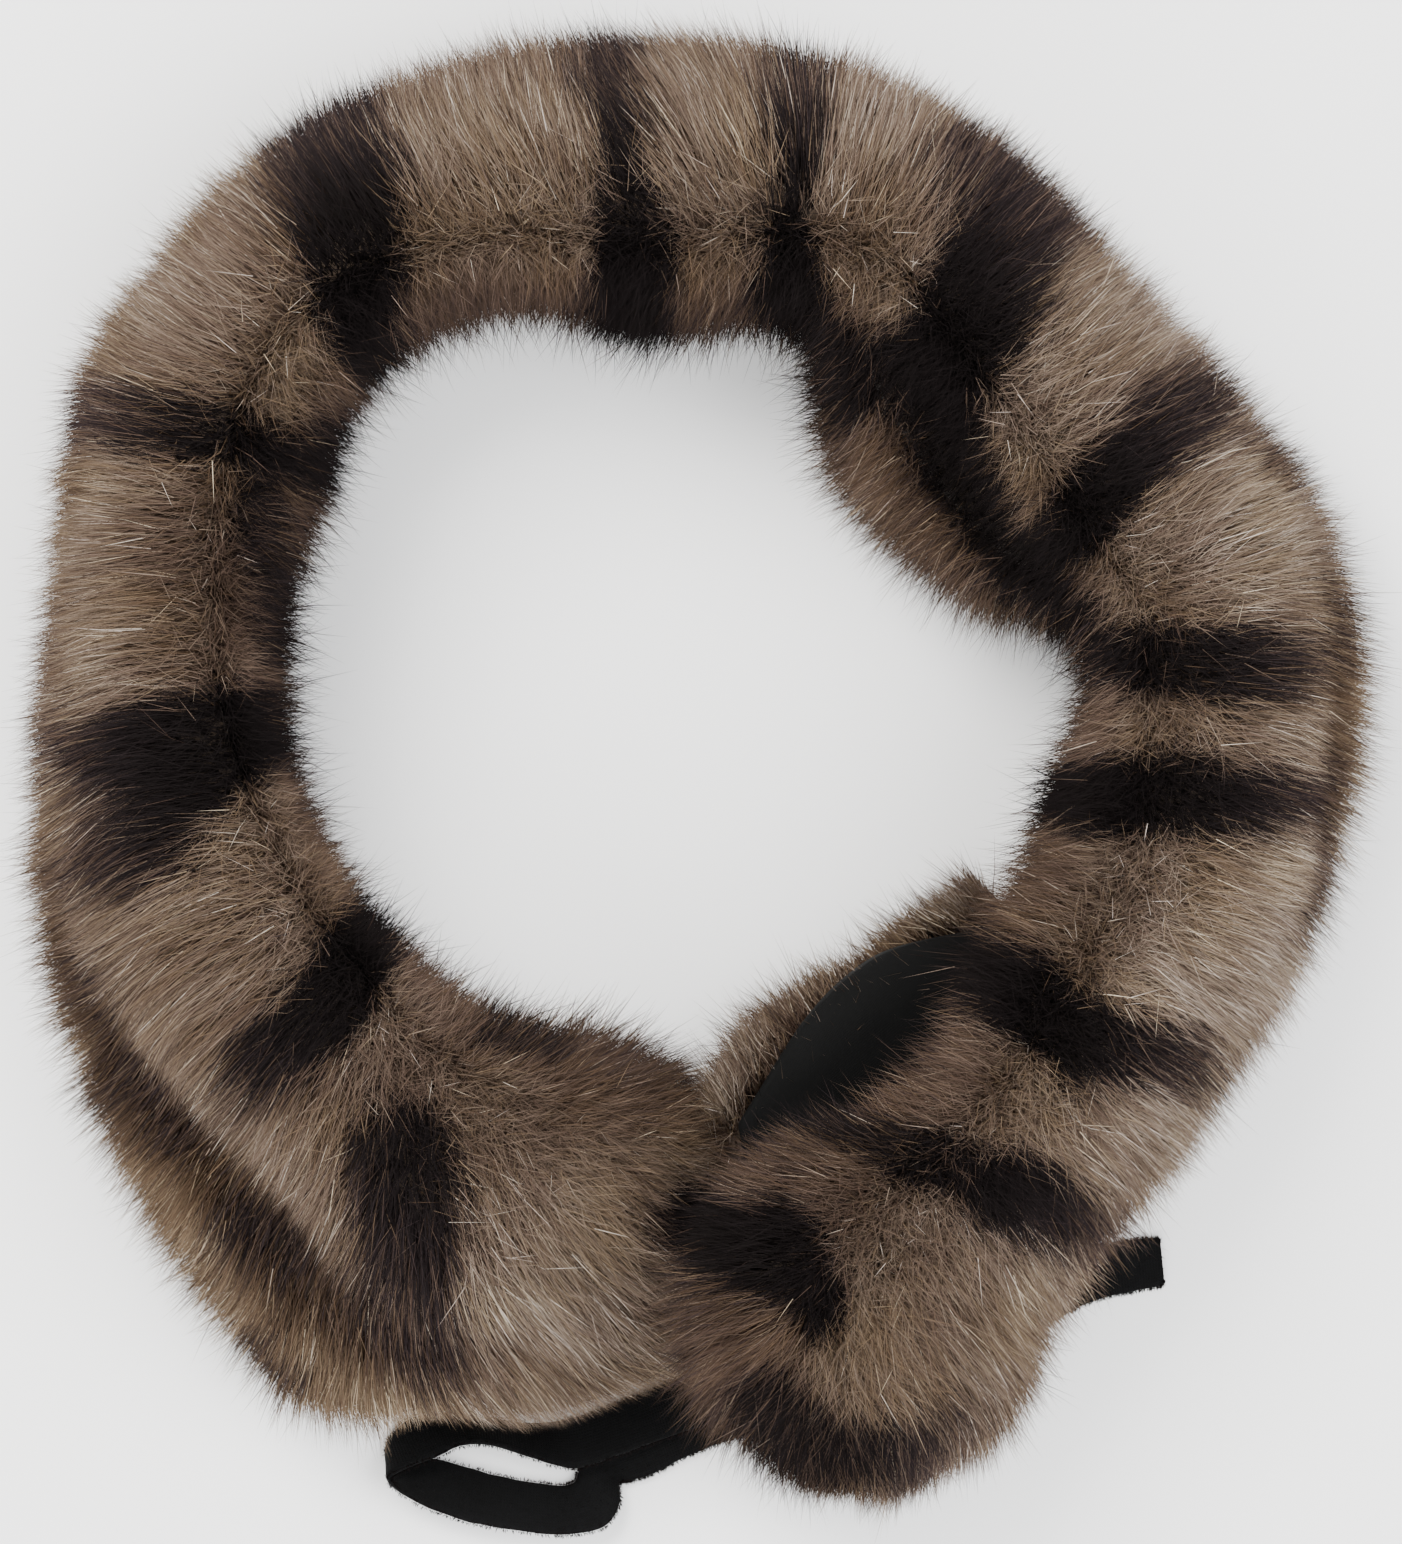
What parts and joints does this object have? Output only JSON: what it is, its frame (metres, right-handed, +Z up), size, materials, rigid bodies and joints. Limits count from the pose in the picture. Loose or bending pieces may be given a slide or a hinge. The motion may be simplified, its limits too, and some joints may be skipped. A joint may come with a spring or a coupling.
{
  "type": "neck scarf",
  "caption": "Long-pile fur neck scarf closed into a ring, with animal stripes, a smooth lining at its closing and a ribbon strap with a loop, laid flat.",
  "frame": {"origin": "centre of the bounding box's bottom, on the surface that the scarf lies on", "axes": "+Z up from the surface, +Y towards the side opposite the closing and the strap loop, +X towards the arm that ends in the tail"},
  "size_m": [0.2886, 0.3236, 0.0835],
  "materials": {
    "fur": "long-pile faux fur, tan with dark stripes",
    "lining": "smooth black lining",
    "strap": "napped black ribbon"
  },
  "bodies": {
    "root": {"fur_tube": "fur", "fur_underlap": "fur", "lining": "lining", "strap": "strap"}
  },
  "joints": []
}
